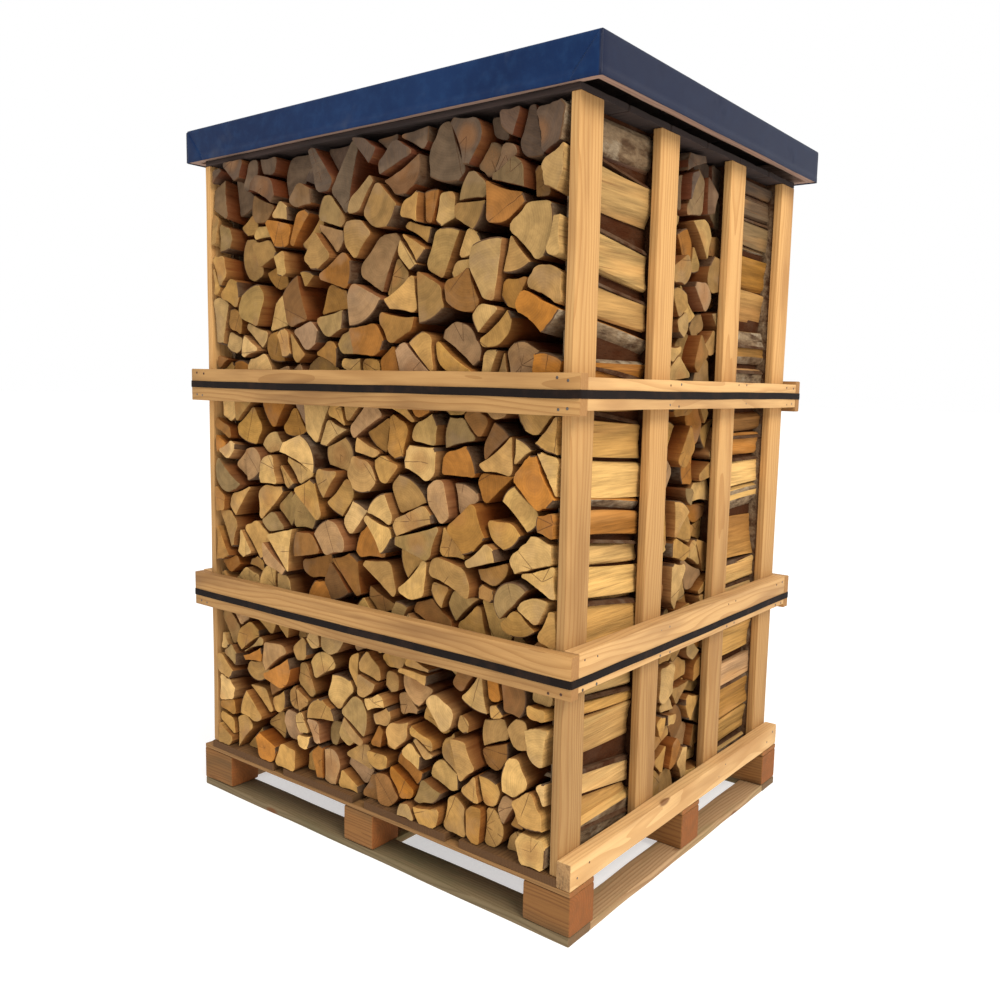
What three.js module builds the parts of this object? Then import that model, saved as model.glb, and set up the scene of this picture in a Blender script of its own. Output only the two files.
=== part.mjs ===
// Firewood in a three-tier crate on a block pallet, under a lid wrapped in a tarp.
// Millimetres, +Z up. Front is -Y, the origin is under the middle of the footprint.
// Every log runs front to back in the front and back rows, and side to side in the middle row.
import * as THREE from "three";

// Clearance left between pieces that touch.
const GAP = 0.3;

// Pallet.
const PALLET_WIDTH = 1200;
const PALLET_DEPTH = 1040;
const BASE_BOARD_THICK = 18;
const BASE_BOARD_WIDTH = 80;
const SIDE_BASE_BOARD_WIDTH = 66;
const BLOCK_TOP = 103;
const SIDE_BLOCK_WIDTH = 115;
const MIDDLE_BLOCK_WIDTH = 95;
const BLOCK_DEPTH = 90;
const STRINGER_TOP = 114;
const DECK_TOP = 132;
const DECK_BOARD_COUNT = 4;
const DECK_BOARD_WIDTH = 255;

// Beams that stand on the pallet outside the posts.
const BEAM_THICK = 34;
const BEAM_TOP = 172;
const LEFT_BEAM_SETBACK = 80;

// Posts, four on each side.
const POST_THICK = 20;
const POST_WIDTH = 82;
const POST_SPAN = 1030;
const INNER_POST_OFFSET = 170;
const POST_TOP = 1635.7;

// Rails round the crate, in pairs that meet at the two seams between tiers.
const SIDE_RAIL_THICK = 36;
const END_RAIL_THICK = 26;
const SEAMS = [
  { name: "lower", below: 1, z: 541, frontUp: 55, sideUp: 57, frontDown: 33, sideDown: 22 },
  { name: "upper", below: 2, z: 1090, frontUp: 40, sideUp: 32, frontDown: 41, sideDown: 30 },
];

// Straps over the seams.
const STRAP_HEIGHT = 18;
const STRAP_THICK = 1.2;

// Lid and its tarp.
const LID_WIDTH = 1240;
const LID_DEPTH = 1062;
const LID_TOP = 1727;
const TARP_BOTTOM = 1646;
const TARP_THICK = 1.7;
const LID_STEP = 1649;

// Log rows: their ends reach past the posts' front edges and bulge between the middle posts.
const ROW_SPLIT = 178;
const END_BULGE = 12;
const BULGE_MARGIN = 4;
const SIDE_BULGE = 11;
const LOGS_TOP = 1620;

const HALF_WIDTH = PALLET_WIDTH / 2;
const HALF_DEPTH = PALLET_DEPTH / 2;
const POST_OUTER = HALF_WIDTH - BEAM_THICK - GAP;
const POST_INNER = POST_OUTER - POST_THICK;
const POST_FRONT = POST_SPAN / 2;
const RAIL_OUTER_X = POST_OUTER + GAP + SIDE_RAIL_THICK;
const RAIL_OUTER_Y = POST_FRONT + GAP + END_RAIL_THICK;

const COLOURS = {
  pallet_wood: 0x9a744a,
  post_wood: 0xd9b077,
  rail_wood: 0xd2b48a,
  lid_wood: 0x7a7276,
  log_wood: 0xb98f5e,
  strap: 0x1a1412,
  tarp: 0x24416b,
};

const part = new THREE.Group();

function addMesh(name, geometry, slot, roughness) {
  const material = new THREE.MeshStandardMaterial({
    color: COLOURS[slot],
    roughness: roughness,
    metalness: 0,
  });
  material.name = slot;
  const mesh = new THREE.Mesh(geometry, material);
  mesh.name = name;
  part.add(mesh);
}

function addBox(name, x, y, z, slot) {
  const geometry = new THREE.BoxGeometry(x[1] - x[0], y[1] - y[0], z[1] - z[0]);
  geometry.translate((x[0] + x[1]) / 2, (y[0] + y[1]) / 2, (z[0] + z[1]) / 2);
  addMesh(name, geometry, slot, 0.8);
}

function mirrored(span, side) {
  return side > 0 ? [span[0], span[1]] : [-span[1], -span[0]];
}

// A box with a rectangle pushed into its underside, or out of it where innerZ is below rimZ.
function steppedBox(outer, inner, rimZ, innerZ, topZ) {
  const corners = [[-1, -1], [1, -1], [1, 1], [-1, 1]];
  const points = [];
  for (const [half, z] of [[outer, topZ], [outer, rimZ], [inner, rimZ], [inner, innerZ]]) {
    for (const [sx, sy] of corners) {
      points.push(sx * half[0], sy * half[1], z);
    }
  }
  const index = [0, 1, 2, 0, 2, 3];
  for (let ring = 0; ring < 3; ring += 1) {
    for (let i = 0; i < 4; i += 1) {
      const a = ring * 4 + i;
      const b = ring * 4 + ((i + 1) % 4);
      index.push(a, a + 4, b + 4, a, b + 4, b);
    }
  }
  index.push(12, 14, 13, 12, 15, 14);
  const geometry = new THREE.BufferGeometry();
  geometry.setAttribute("position", new THREE.Float32BufferAttribute(points, 3));
  geometry.setIndex(index);
  geometry.computeVertexNormals();
  return geometry;
}

function outline(points) {
  return new THREE.Shape(points.map(([a, b]) => new THREE.Vector2(a, b)));
}

function addBlocks() {
  const z = [BASE_BOARD_THICK + GAP, BLOCK_TOP];
  for (const [row, y] of Object.entries(rowSpans())) {
    for (const [column, x] of Object.entries(columnSpans())) {
      addBox(`block_${row}_${column}`, x, y, z, "pallet_wood");
    }
  }
}

function rowSpans() {
  return {
    front: [-HALF_DEPTH, -HALF_DEPTH + BLOCK_DEPTH],
    middle: [-BLOCK_DEPTH / 2, BLOCK_DEPTH / 2],
    back: [HALF_DEPTH - BLOCK_DEPTH, HALF_DEPTH],
  };
}

function columnSpans() {
  return {
    left: [-HALF_WIDTH, -HALF_WIDTH + SIDE_BLOCK_WIDTH],
    centre: [-MIDDLE_BLOCK_WIDTH / 2, MIDDLE_BLOCK_WIDTH / 2],
    right: [HALF_WIDTH - SIDE_BLOCK_WIDTH, HALF_WIDTH],
  };
}

function addBaseBoards() {
  const z = [0, BASE_BOARD_THICK];
  const inner = HALF_DEPTH - BASE_BOARD_WIDTH;
  const across = [-HALF_WIDTH, HALF_WIDTH];
  const along = [-inner + GAP, inner - GAP];
  const sideSpan = [HALF_WIDTH - SIDE_BASE_BOARD_WIDTH, HALF_WIDTH];
  const middle = [-MIDDLE_BLOCK_WIDTH / 2, MIDDLE_BLOCK_WIDTH / 2];
  addBox("base_board_front", across, [-HALF_DEPTH, -inner], z, "pallet_wood");
  addBox("base_board_back", across, [inner, HALF_DEPTH], z, "pallet_wood");
  addBox("base_board_left", mirrored(sideSpan, -1), along, z, "pallet_wood");
  addBox("base_board_right", sideSpan, along, z, "pallet_wood");
  addBox("base_board_middle", middle, along, z, "pallet_wood");
}

// Each row of blocks carries a thin board from side to side, and these carry the deck boards.
function addStringers() {
  const x = [-HALF_WIDTH, HALF_WIDTH];
  const z = [BLOCK_TOP + GAP, STRINGER_TOP];
  for (const [row, y] of Object.entries(rowSpans())) {
    addBox(`stringer_${row}`, x, y, z, "pallet_wood");
  }
}

function addDeckBoards() {
  const y = [-HALF_DEPTH, HALF_DEPTH];
  const z = [STRINGER_TOP + GAP, DECK_TOP];
  const pitch = (2 * POST_OUTER - DECK_BOARD_WIDTH) / (DECK_BOARD_COUNT - 1);
  for (let i = 0; i < DECK_BOARD_COUNT; i += 1) {
    const left = -POST_OUTER + i * pitch;
    addBox(`deck_board_${i + 1}`, [left, left + DECK_BOARD_WIDTH], y, z, "pallet_wood");
  }
}

function addBeams() {
  const span = [HALF_WIDTH - BEAM_THICK, HALF_WIDTH];
  const z = [STRINGER_TOP + GAP, BEAM_TOP];
  const leftFront = -HALF_DEPTH + LEFT_BEAM_SETBACK;
  addBox("side_beam_right", span, [-HALF_DEPTH, HALF_DEPTH], z, "post_wood");
  addBox("side_beam_left", mirrored(span, -1), [leftFront, HALF_DEPTH], z, "post_wood");
}

function addPosts() {
  const z = [DECK_TOP + GAP, POST_TOP];
  const outerCentre = POST_FRONT - POST_WIDTH / 2;
  const centres = [-outerCentre, -INNER_POST_OFFSET, INNER_POST_OFFSET, outerCentre];
  for (const [side, sign] of [["left", -1], ["right", 1]]) {
    const x = mirrored([POST_INNER, POST_OUTER], sign);
    centres.forEach((centre, i) => {
      const y = [centre - POST_WIDTH / 2, centre + POST_WIDTH / 2];
      addBox(`post_${side}_${i + 1}`, x, y, z, "post_wood");
    });
  }
}

// One board on each side of the crate; the end boards cover the side boards' ends.
function addRailRing(prefix, endZ, sideZ) {
  const endX = [-RAIL_OUTER_X, RAIL_OUTER_X];
  const endY = [POST_FRONT + GAP, RAIL_OUTER_Y];
  const sideX = [POST_OUTER + GAP, RAIL_OUTER_X];
  const sideY = [-POST_FRONT, POST_FRONT];
  addBox(`${prefix}_front`, endX, mirrored(endY, -1), endZ, "rail_wood");
  addBox(`${prefix}_back`, endX, endY, endZ, "rail_wood");
  addBox(`${prefix}_left`, mirrored(sideX, -1), sideY, sideZ, "rail_wood");
  addBox(`${prefix}_right`, sideX, sideY, sideZ, "rail_wood");
}

function addRails() {
  for (const seam of SEAMS) {
    const top = `rail_tier${seam.below}_top`;
    const bottom = `rail_tier${seam.below + 1}_bottom`;
    addRailRing(top, [seam.z - seam.frontDown, seam.z], [seam.z - seam.sideDown, seam.z]);
    const base = seam.z + GAP;
    addRailRing(bottom, [base, seam.z + seam.frontUp], [base, seam.z + seam.sideUp]);
  }
}

function rectangle(halfX, halfY) {
  return [[-halfX, -halfY], [halfX, -halfY], [halfX, halfY], [-halfX, halfY]];
}

function addStraps() {
  const innerX = RAIL_OUTER_X + GAP;
  const innerY = RAIL_OUTER_Y + GAP;
  for (const seam of SEAMS) {
    const shape = outline(rectangle(innerX + STRAP_THICK, innerY + STRAP_THICK));
    shape.holes.push(new THREE.Path(outline(rectangle(innerX, innerY)).getPoints().reverse()));
    const geometry = new THREE.ExtrudeGeometry(shape, {
      depth: STRAP_HEIGHT,
      bevelEnabled: false,
    });
    geometry.translate(0, 0, seam.z - STRAP_HEIGHT / 2);
    addMesh(`strap_${seam.name}`, geometry, "strap", 0.6);
  }
}

// The lid rests on the posts: a wide block over a thinner step that stays inside the posts.
function addLid() {
  const skin = TARP_THICK + GAP;
  const wide = [LID_WIDTH / 2 - skin, LID_DEPTH / 2 - skin];
  const step = [POST_OUTER, POST_FRONT];
  const geometry = steppedBox(wide, step, LID_STEP, POST_TOP + GAP, LID_TOP - skin);
  addMesh("lid_core", geometry, "lid_wood", 0.8);
}

function addTarp() {
  const outer = [LID_WIDTH / 2, LID_DEPTH / 2];
  const inner = [outer[0] - TARP_THICK, outer[1] - TARP_THICK];
  const geometry = steppedBox(outer, inner, TARP_BOTTOM, LID_TOP - TARP_THICK, LID_TOP);
  addMesh("tarp_cover", geometry, "tarp", 0.5);
}

// Height range of a tier, and the part of it where its log ends may stand proud of the posts.
function tierSpans() {
  const [low, high] = SEAMS;
  return [
    { z: [DECK_TOP + GAP, low.z - GAP], open: [DECK_TOP, low.z - low.frontDown] },
    { z: [low.z, high.z - GAP], open: [low.z + low.frontUp, high.z - high.frontDown] },
    { z: [high.z, LOGS_TOP], open: [high.z + high.frontUp, LOGS_TOP] },
  ];
}

// Side profile of a front row of logs in (Y, Z), extruded across the crate.
function endRowGeometry(tier) {
  const front = -POST_FRONT;
  const proud = front - END_BULGE;
  const low = tier.open[0] + BULGE_MARGIN;
  const high = tier.open[1] - BULGE_MARGIN;
  const shape = outline([
    [front, tier.z[0]],
    [-ROW_SPLIT, tier.z[0]],
    [-ROW_SPLIT, tier.z[1]],
    [front, tier.z[1]],
    [front, high],
    [proud, high - END_BULGE],
    [proud, low + END_BULGE],
    [front, low],
  ]);
  const halfWidth = POST_INNER - GAP;
  const geometry = new THREE.ExtrudeGeometry(shape, { depth: 2 * halfWidth, bevelEnabled: false });
  geometry.rotateX(Math.PI / 2);
  geometry.rotateZ(Math.PI / 2);
  geometry.translate(-halfWidth, 0, 0);
  return geometry;
}

// Plan of a middle row of logs in (X, Y), which bulges between the two inner posts.
function middleRowGeometry(tier) {
  const halfX = POST_INNER - GAP;
  const proudX = halfX + SIDE_BULGE;
  const halfY = ROW_SPLIT - GAP;
  const clear = INNER_POST_OFFSET - POST_WIDTH / 2 - BULGE_MARGIN;
  const plan = [
    [halfX, -halfY],
    [halfX, -clear],
    [proudX, -clear + SIDE_BULGE],
    [proudX, clear - SIDE_BULGE],
    [halfX, clear],
    [halfX, halfY],
  ];
  const mirrorPlan = plan.map(([x, y]) => [-x, -y]);
  const shape = outline([...plan, ...mirrorPlan]);
  const depth = tier.z[1] - tier.z[0];
  const geometry = new THREE.ExtrudeGeometry(shape, { depth: depth, bevelEnabled: false });
  geometry.translate(0, 0, tier.z[0]);
  return geometry;
}

function addLogs() {
  tierSpans().forEach((tier, i) => {
    const front = endRowGeometry(tier);
    const back = front.clone();
    back.rotateZ(Math.PI);
    addMesh(`logs_front_${i + 1}`, front, "log_wood", 0.85);
    addMesh(`logs_middle_${i + 1}`, middleRowGeometry(tier), "log_wood", 0.85);
    addMesh(`logs_back_${i + 1}`, back, "log_wood", 0.85);
  });
}

addBlocks();
addBaseBoards();
addStringers();
addDeckBoards();
addBeams();
addPosts();
addRails();
addStraps();
addLid();
addTarp();
addLogs();

export default part;
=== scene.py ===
import math
import random

import bpy
import numpy as np
from mathutils import Matrix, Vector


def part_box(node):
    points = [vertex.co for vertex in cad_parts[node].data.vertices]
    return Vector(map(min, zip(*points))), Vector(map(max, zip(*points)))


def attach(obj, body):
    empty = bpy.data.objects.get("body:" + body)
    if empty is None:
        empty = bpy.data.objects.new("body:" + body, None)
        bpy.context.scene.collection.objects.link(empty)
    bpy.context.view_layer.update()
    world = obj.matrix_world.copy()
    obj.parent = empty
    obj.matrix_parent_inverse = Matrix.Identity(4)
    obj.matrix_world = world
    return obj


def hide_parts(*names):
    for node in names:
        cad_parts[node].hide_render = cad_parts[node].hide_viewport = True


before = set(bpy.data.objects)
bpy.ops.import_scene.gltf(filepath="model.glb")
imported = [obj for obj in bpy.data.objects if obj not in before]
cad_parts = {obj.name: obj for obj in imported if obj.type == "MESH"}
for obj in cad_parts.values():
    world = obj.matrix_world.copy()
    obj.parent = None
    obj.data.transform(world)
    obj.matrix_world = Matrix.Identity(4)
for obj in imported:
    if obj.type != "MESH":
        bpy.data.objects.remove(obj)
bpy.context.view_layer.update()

# ---------------------------------------------------------------- colours


def rgb(red, green, blue):
    """Screen colour, 0 to 255, as the linear colour that shaders take."""
    shares = [c / 255 for c in (red, green, blue)]
    return tuple(c / 12.92 if c <= 0.04045 else ((c + 0.055) / 1.055) ** 2.4 for c in shares)


def rgba(red, green, blue):
    return (*rgb(red, green, blue), 1.0)


# ---------------------------------------------------------------- shader helper


class Value:
    """A shader socket that can stand in a sum or a product, so that a pattern reads as a formula."""

    def __init__(self, shader, socket):
        self.shader, self.socket = shader, socket

    def __add__(self, other):
        return self.shader.math("ADD", self, other)

    def __sub__(self, other):
        return self.shader.math("SUBTRACT", self, other)

    def __mul__(self, other):
        return self.shader.math("MULTIPLY", self, other)


class Shader:
    """A material under construction, with short calls for the nodes used below."""

    def __init__(self, name, roughness=0.8, shine=0.5):
        self.mat = bpy.data.materials.new(name)
        self.mat.use_nodes = True
        self.tree = self.mat.node_tree
        self.tree.nodes.clear()
        out = self.tree.nodes.new("ShaderNodeOutputMaterial")
        self.bsdf = self.tree.nodes.new("ShaderNodeBsdfPrincipled")
        self.tree.links.new(self.bsdf.outputs[0], out.inputs[0])
        self.bsdf.inputs["Roughness"].default_value = roughness
        self.bsdf.inputs["Specular IOR Level"].default_value = shine

    def put(self, socket, value):
        if isinstance(value, Value):
            self.tree.links.new(value.socket, socket)
        else:
            socket.default_value = value

    def node(self, kind, inputs=None, **props):
        """A node with its inputs set, by number or by name."""
        made = self.tree.nodes.new(kind)
        for key, value in props.items():
            setattr(made, key, value)
        for key, value in (inputs or {}).items():
            self.put(made.inputs[key], value)
        return made

    def take(self, out, kind, inputs=None, **props):
        """One output of a new node."""
        return Value(self, self.node(kind, inputs, **props).outputs[out])

    def math(self, op, a, b=0.0, clamp=False):
        return self.take(0, "ShaderNodeMath", {0: a, 1: b}, operation=op, use_clamp=clamp)

    def vec(self, op, a, b):
        return self.take(0, "ShaderNodeVectorMath", {0: a, 1: b}, operation=op)

    def attr(self, name, out="Fac"):
        return self.take(out, "ShaderNodeAttribute", attribute_name=name)

    def place(self):
        return self.take("Object", "ShaderNodeTexCoord")

    def split(self, vector):
        made = self.node("ShaderNodeSeparateXYZ", {0: vector})
        return [Value(self, out) for out in made.outputs]

    def join(self, x, y, z):
        return self.take(0, "ShaderNodeCombineXYZ", {0: x, 1: y, 2: z})

    def noise(self, vector, scale, detail=2.0, rough=0.5):
        inputs = {"Vector": vector, "Scale": scale, "Detail": detail, "Roughness": rough}
        return self.take("Fac", "ShaderNodeTexNoise", inputs)

    def white(self, value):
        return self.take("Value", "ShaderNodeTexWhiteNoise", {"W": value}, noise_dimensions="1D")

    def ease(self, value, low, high, to_low=0.0, to_high=1.0):
        inputs = {"Value": value, "From Min": low, "From Max": high, "To Min": to_low, "To Max": to_high}
        return self.take(0, "ShaderNodeMapRange", inputs, interpolation_type="SMOOTHSTEP")

    def mix(self, factor, a, b, blend="MIX"):
        inputs = {0: factor, 6: a, 7: b}
        return self.take(2, "ShaderNodeMix", inputs, data_type="RGBA", blend_type=blend)

    def shaded(self, colour, red, green, blue):
        return self.mix(1.0, colour, self.join(red, green, blue), "MULTIPLY")

    def moved(self, vector, rnd, factor):
        """A place moved by an offset of its own for each piece, so that patterns don't repeat."""
        return self.vec("ADD", vector, self.join(rnd * factor, rnd * (factor * 1.7), 0.0))

    def fibre(self, at, rnd, across, along, detail=4.0):
        """Noise drawn out along the grain, which runs in z of the piece's own coordinates."""
        place = self.vec("MULTIPLY", at, (across, across, along))
        return self.noise(self.moved(place, rnd, 83.0), 1.0, detail, 0.6)

    def bump(self, height, strength, distance):
        inputs = {"Strength": strength, "Distance": distance, "Height": height}
        return self.take(0, "ShaderNodeBump", inputs)

    def finish(self, colour, normal=None, roughness=None):
        self.put(self.bsdf.inputs["Base Color"], colour)
        if normal is not None:
            self.put(self.bsdf.inputs["Normal"], normal)
        if roughness is not None:
            self.put(self.bsdf.inputs["Roughness"], roughness)
        return self.mat


FULL_TURN = 2 * math.pi
LOG_RING = 0.0052
BOARD_RING = 0.0075
TARP_WEAVE = 0.003
# Drying cracks that a round log can have, for each radian about its pith.
CRACKS = 1.4


def cracks(s, place, x, y, radius, rnd):
    """Drying cracks that run out from the pith of a log, 0 to 1."""
    steps = s.math("ARCTAN2", y, x) * CRACKS + rnd * 57.0
    cell = s.math("FLOOR", steps)
    aim = (s.white(cell) - 0.5) * 0.6
    bend = (s.noise(place, 45.0) - 0.5) * 0.1
    metres = s.math("ABSOLUTE", steps - cell - 0.5 - aim + bend) * radius * (1 / CRACKS)
    there = s.ease(s.white(cell + 9.7), 0.7, 0.72)
    return s.ease(metres, 0.0011, 0.0004) * there * s.ease(s.noise(place, 20.0, 1.0), 0.38, 0.5)


def log_end_material():
    """A sawn log end: growth rings, a darker heart, grey patches, cracks, a bark rim and saw marks."""
    s = Shader("log_end", 0.86, 0.15)
    at, rnd = s.attr("at", "Vector"), s.attr("rnd")
    x, y, _ = s.split(at)
    place = s.moved(at, rnd, 31.0)
    wobble = s.noise(place, 17.0)
    radius = s.math("SQRT", x * x + y * y)
    grown = radius + wobble * 0.012
    rings = s.math("SINE", grown * (FULL_TURN / LOG_RING))
    wide = s.noise(s.join(grown * 90.0, rnd * 40.0, 0.0), 1.0)
    blotch = s.ease(s.noise(place, 26.0, 4.0, 0.6), 0.3, 0.72, -0.24, 0.16)
    shade = rings * 0.04 + s.ease(wide, 0.3, 0.7, -0.07, 0.07) + 1.0 + blotch
    colour = s.shaded(s.attr("tone", "Color"), shade, shade, shade)
    core = s.ease(grown, 0.042, 0.018) * s.ease(s.white(rnd), 0.45, 0.7)
    colour = s.mix(core * 0.4, colour, rgba(150, 98, 52))
    grey = s.ease(s.noise(place, 11.0, 3.0, 0.55), 0.52, 0.72)
    colour = s.mix(grey * 0.35, colour, rgba(142, 116, 90))
    crack = cracks(s, place, x, y, radius, rnd)
    colour = s.mix(crack * 0.7, colour, rgba(78, 48, 28))
    rim = s.ease(s.attr("rim") + (wobble - 0.5) * 0.5, 0.45, 0.7)
    colour = s.mix(rim, colour, rgba(86, 62, 42))
    lean = rnd * 6.28
    along = x * s.math("COSINE", lean) + y * s.math("SINE", lean)
    saw = s.noise(s.join(along * 420.0, rnd, 0.0), 1.0)
    colour = s.mix(s.ease(saw, 0.35, 0.75, 0.0, 0.16), colour, rgba(120, 86, 52))
    height = saw * 0.5 + s.noise(place, 260.0, 3.0, 0.6) - crack * 2.5
    return s.finish(colour, s.bump(height, 0.55, 0.0012))


def paint_gap_shade(s, colour, dark):
    """Painted shade: darkens the sides that face other logs, deep in the gaps between them."""
    return s.mix(s.attr("deep") * 0.94, colour, rgba(*dark))


def log_split_material():
    """The split side of a log: long fibres with warm patches and dark streaks."""
    s = Shader("log_split", 0.85, 0.12)
    at, rnd = s.attr("at", "Vector"), s.attr("rnd")
    broad = s.fibre(at, rnd, 34.0, 4.0, 3.0)
    fine = s.fibre(at, rnd, 190.0, 7.0)
    shade = s.ease(broad, 0.3, 0.7, 0.78, 1.16) + s.ease(fine, 0.3, 0.7, -0.2, 0.16)
    colour = s.shaded(s.attr("tone", "Color"), shade, shade, shade)
    warm = s.ease(s.fibre(at, rnd, 16.0, 3.0, 2.0), 0.5, 0.72)
    colour = s.mix(warm * 0.35, colour, rgba(214, 158, 92))
    streak = s.ease(s.fibre(at, rnd, 95.0, 2.2, 3.0), 0.6, 0.72)
    colour = s.mix(streak * 0.6, colour, rgba(112, 74, 42))
    return s.finish(paint_gap_shade(s, colour, (98, 40, 4)), s.bump(broad * 3.0 + fine, 0.9, 0.0022))


def bark_material():
    """Bark in dark plates with pale mottling, browner on some logs than on others."""
    s = Shader("log_bark", 0.92, 0.08)
    at, rnd = s.attr("at", "Vector"), s.attr("rnd")
    plates = s.fibre(at, rnd, 42.0, 15.0, 5.0)
    mottle = s.fibre(at, rnd, 20.0, 14.0, 3.0)
    fine = s.fibre(at, rnd, 160.0, 60.0)
    colour = s.mix(s.ease(plates, 0.33, 0.58), rgba(70, 50, 36), rgba(146, 124, 96))
    colour = s.mix(s.ease(mottle, 0.52, 0.66, 0.0, 0.75), colour, rgba(176, 160, 134))
    colour = s.mix(s.ease(s.white(rnd), 0.5, 0.9, 0.0, 0.45), colour, rgba(108, 82, 56))
    colour = s.mix(s.ease(fine, 0.3, 0.7, 0.0, 0.35), colour, rgba(70, 54, 42))
    return s.finish(paint_gap_shade(s, colour, (58, 25, 4)), s.bump(plates * 3.0 + fine * 0.7, 1.0, 0.003))


def knots(s, at, rnd, fine):
    """Sparse oval knots, 0 to 1."""
    place = s.moved(s.vec("MULTIPLY", at, (9.0, 9.0, 4.2)), rnd, 23.0)
    spot = s.node("ShaderNodeTexVoronoi", {"Vector": place, "Scale": 1.0}, feature="F1")
    near = Value(s, spot.outputs["Distance"]) + (fine - 0.5) * 0.05
    chosen = s.ease(s.split(Value(s, spot.outputs["Color"]))[0], 0.55, 0.56)
    return s.ease(near, 0.13, 0.075) * chosen


def board_material(name, light, dark, stain, amount, roughness=0.78, end_colour=None, painted_low_shade=None):
    """Sawn softwood as a solid: rings round a far pith, so faces show grain and ends show rings.
    amount is how strong the stain is. The last argument gives two places along the grain and the
    brightness of the wood at each: painted shade, darker towards the bottom."""
    s = Shader(name, roughness, 0.25)
    at, rnd = s.attr("at", "Vector"), s.attr("rnd")
    x, y, z = s.split(at)
    drift = s.noise(s.moved(s.vec("MULTIPLY", at, (9.0, 9.0, 1.7)), rnd, 61.0), 1.0)
    from_pith_x = x + (rnd * 0.05 + 0.03)
    from_pith_y = y + (rnd * -0.1 + 0.05)
    far = s.math("SQRT", from_pith_x * from_pith_x + from_pith_y * from_pith_y)
    late = s.ease(s.math("FRACT", (far + drift * 0.045) * (1 / BOARD_RING)), 0.45, 0.95)
    fine = s.fibre(at, rnd, 260.0, 9.0, 3.0)
    broad = s.fibre(at, rnd, 14.0, 2.0, 3.0)
    colour = s.mix(late * 0.75, rgba(*light), rgba(*dark))
    colour = s.mix(s.ease(fine, 0.35, 0.75, 0.0, 0.35), colour, rgba(*dark))
    colour = s.mix(s.ease(broad, 0.45, 0.75, 0.0, amount), colour, rgba(*stain))
    tint = s.white(rnd + 3.3) * 0.2 + 0.88
    # Painted shade, darker towards the bottom of the piece.
    if painted_low_shade:
        tint = tint * s.ease(z, *painted_low_shade)
    colour = s.shaded(colour, tint, tint, tint * 0.95)
    colour = s.mix(knots(s, at, rnd, fine) * 0.85, colour, rgba(108, 66, 34))
    patchy = s.ease(s.noise(s.moved(at, rnd, 47.0), 38.0, 4.0, 0.6), 0.35, 0.7, 0.0, 0.55)
    cut = s.mix(s.math("MAXIMUM", patchy, late * 0.4), rgba(*(end_colour or dark)), rgba(*dark))
    colour = s.mix(s.attr("end") * s.math("ADD", fine * 0.6, 0.5, clamp=True), colour, cut)
    return s.finish(colour, s.bump(fine + late * 0.3, 0.5, 0.0012))


def tarp_material():
    """Blue woven sheet, dusty in places, with duller flaps at the sides than at the front."""
    s = Shader("tarp_sheet", 0.42, 0.12)
    at = s.place()
    x, y, z = s.split(at)
    cloud = s.noise(at, 2.6, 3.0, 0.55)
    fine = s.noise(at, 34.0, 3.0, 0.6)
    colour = s.mix(s.ease(cloud, 0.35, 0.68), rgba(3, 28, 64), rgba(10, 40, 80))
    colour = s.mix(s.ease(fine, 0.4, 0.75, 0.0, 0.3), colour, rgba(28, 60, 98))
    dust = s.ease(s.noise(at, 7.0, 4.0, 0.6), 0.56, 0.75)
    colour = s.mix(dust * 0.3, colour, rgba(84, 88, 96))
    side = s.ease(s.math("ABSOLUTE", x), 0.612, 0.617)
    colour = s.mix(side * s.ease(cloud, 0.3, 0.7, 0.7, 0.9), colour, rgba(24, 26, 42))
    one_way = s.math("SINE", (x + y) * (FULL_TURN / TARP_WEAVE))
    other_way = s.math("SINE", (z + (x - y)) * (FULL_TURN / TARP_WEAVE))
    height = (one_way + other_way) * 0.12 + fine * 0.6
    return s.finish(colour, s.bump(height, 0.4, 0.0008), s.ease(dust, 0.0, 1.0, 0.45, 0.65))


def strap_material():
    """Dark woven strap with ribs along it and dust."""
    s = Shader("strap_band", 0.8, 0.15)
    at = s.place()
    x, y, z = s.split(at)
    ribs = s.math("SINE", z * (FULL_TURN / 0.0022))
    cross = s.math("SINE", (x + y) * (FULL_TURN / 0.004))
    dust = s.ease(s.noise(at, 16.0, 4.0, 0.6), 0.48, 0.75)
    colour = s.mix(dust * 0.45, rgba(18, 10, 7), rgba(56, 36, 24))
    colour = s.mix(s.ease(ribs, 0.2, 1.0, 0.0, 0.25), colour, rgba(44, 30, 22))
    return s.finish(colour, s.bump(ribs + cross * 0.4, 0.5, 0.0004))


def nail_material():
    s = Shader("nail_steel", 0.45)
    rust = s.ease(s.noise(s.place(), 90.0, 3.0, 0.6), 0.4, 0.65)
    s.put(s.bsdf.inputs["Metallic"], 0.7)
    colour = s.mix(rust, rgba(92, 88, 84), rgba(84, 50, 32))
    return s.finish(colour, None, s.ease(rust, 0.0, 1.0, 0.4, 0.85))


def floor_material():
    """Plain and pale, with a little light of its own so that it stays pale under the pallet."""
    s = Shader("floor_pale", 0.9)
    s.put(s.bsdf.inputs["Emission Color"], (1.0, 1.0, 1.0, 1.0))
    s.put(s.bsdf.inputs["Emission Strength"], 0.5)
    return s.finish(s.mix(s.noise(s.place(), 0.6, 3.0), rgba(204, 204, 204), rgba(210, 210, 210)))


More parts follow.
